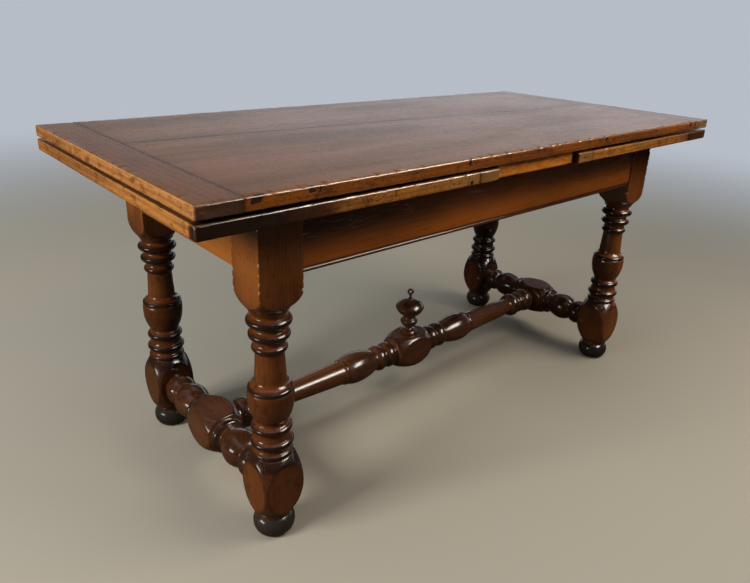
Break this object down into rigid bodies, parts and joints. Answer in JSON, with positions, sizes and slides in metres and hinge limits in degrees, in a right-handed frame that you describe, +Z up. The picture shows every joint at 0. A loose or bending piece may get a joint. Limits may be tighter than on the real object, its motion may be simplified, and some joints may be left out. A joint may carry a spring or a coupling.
{
  "type": "draw-leaf table",
  "caption": "Refectory dining table with a loose top lying over pull-out leaves, on ring-turned legs joined by an H stretcher with a turned finial.",
  "frame": {"origin": "on the floor under the middle of the table", "axes": "+X along the table's length towards the right leaf, +Y across to the back, +Z up"},
  "size_m": [1.6, 0.742, 0.76],
  "materials": {
    "top_walnut": "waxed, soft sheen, worn golden edges",
    "leaf_walnut": "waxed, worn edges",
    "apron_walnut": "waxed, satin",
    "turned_walnut": "polished, with near-black hollows",
    "foot_dark": "dark polished",
    "bearer_oak": "bare planed oak",
    "peg_oak": "bare turned oak",
    "screw_steel": "dulled steel",
    "eye_iron": "darkened iron"
  },
  "bodies": {
    "frame": {"leg_front_left": "turned_walnut", "leg_front_right": "turned_walnut", "leg_back_left": "turned_walnut", "leg_back_right": "turned_walnut", "foot_front_left": "foot_dark", "foot_front_right": "foot_dark", "foot_back_left": "foot_dark", "foot_back_right": "foot_dark", "apron_front": "apron_walnut", "apron_back": "apron_walnut", "apron_left": "apron_walnut", "apron_right": "apron_walnut", "stretcher_left": "turned_walnut", "stretcher_right": "turned_walnut", "stretcher_long": "turned_walnut", "finial": "turned_walnut", "finial_eye": "eye_iron", "centre_board": "leaf_walnut", "middle_bearer": "bearer_oak", "apron_pegs": "peg_oak", "stretcher_pegs": "peg_oak", "centre_board_screws": "screw_steel"},
    "main_top": {"top_board_front": "top_walnut", "top_board_back": "top_walnut", "top_tongue": "bearer_oak", "top_clamp_left": "top_walnut", "top_clamp_right": "top_walnut", "top_clamp_pegs": "peg_oak", "top_guide_pegs": "peg_oak"},
    "left_leaf": {"left_leaf_board_front": "leaf_walnut", "left_leaf_board_back": "leaf_walnut", "left_leaf_tongue": "bearer_oak", "left_leaf_outer_clamp": "leaf_walnut", "left_leaf_inner_clamp": "leaf_walnut", "left_leaf_clamp_pegs": "peg_oak", "left_loper_front": "bearer_oak", "left_loper_back": "bearer_oak", "left_loper_screws": "screw_steel", "left_stop_pegs": "peg_oak"},
    "right_leaf": {"right_leaf_board_front": "leaf_walnut", "right_leaf_board_back": "leaf_walnut", "right_leaf_tongue": "bearer_oak", "right_leaf_outer_clamp": "leaf_walnut", "right_leaf_inner_clamp": "leaf_walnut", "right_leaf_clamp_pegs": "peg_oak", "right_loper_front": "bearer_oak", "right_loper_back": "bearer_oak", "right_loper_screws": "screw_steel", "right_stop_pegs": "peg_oak"}
  },
  "joints": [
    {"name": "left_leaf_draw", "type": "slide", "parent": "frame", "child": "left_leaf", "axis": [-1, 0, 0], "range_m": [0, 0.655]},
    {"name": "right_leaf_draw", "type": "slide", "parent": "frame", "child": "right_leaf", "axis": [1, 0, 0], "range_m": [0, 0.655]},
    {"name": "top_lift", "type": "slide", "parent": "frame", "child": "main_top", "axis": [0, 0, 1], "range_m": [0, 0.05]}
  ]
}
